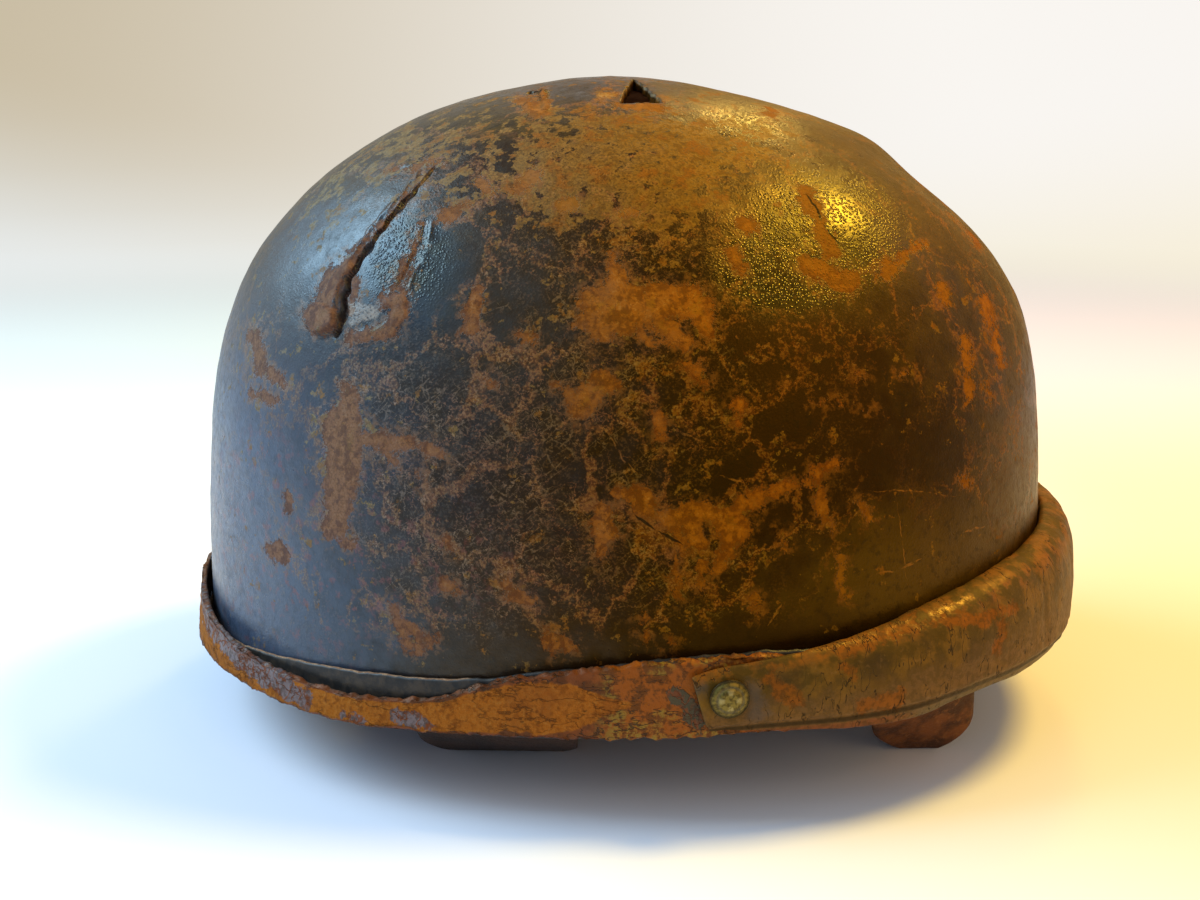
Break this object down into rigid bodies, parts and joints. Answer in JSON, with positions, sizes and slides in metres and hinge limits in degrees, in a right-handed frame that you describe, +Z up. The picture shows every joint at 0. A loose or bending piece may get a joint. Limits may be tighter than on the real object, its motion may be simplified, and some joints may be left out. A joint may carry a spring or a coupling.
{
  "type": "leather motorcycle helmet",
  "caption": "Old pressed-leather motorcycle helmet: domed shell with torn holes, rim strip, padded front roll, strap pushed to the back, studs and lining tongues that carry it.",
  "frame": {"origin": "middle of the overall length and width, on the surface that the helmet stands on", "axes": "+X to the front of the helmet, +Y to the wearer's left, +Z up"},
  "size_m": [0.2864, 0.2432, 0.1978],
  "materials": {
    "lacquered_leather": "black lacquer worn through to orange-brown leather, glossy in places",
    "band_leather": "black lacquer with a raw tan top edge",
    "bumper_leather": "brown, cracked, polished along the crest",
    "strap_leather": "raw reddish brown, cracked, flakes of grey lacquer",
    "stud_metal": "dull aged brass",
    "lining_leather": "rough brown lining leather"
  },
  "bodies": {
    "root": {"crown": "lacquered_leather", "rim_band": "band_leather", "front_bumper": "bumper_leather", "rear_strap": "strap_leather", "stud_right": "stud_metal", "stud_left": "stud_metal", "lining_tab_front_right": "lining_leather", "lining_tab_front_left": "lining_leather", "lining_tab_rear_right": "lining_leather", "lining_tab_rear_left": "lining_leather"}
  },
  "joints": []
}
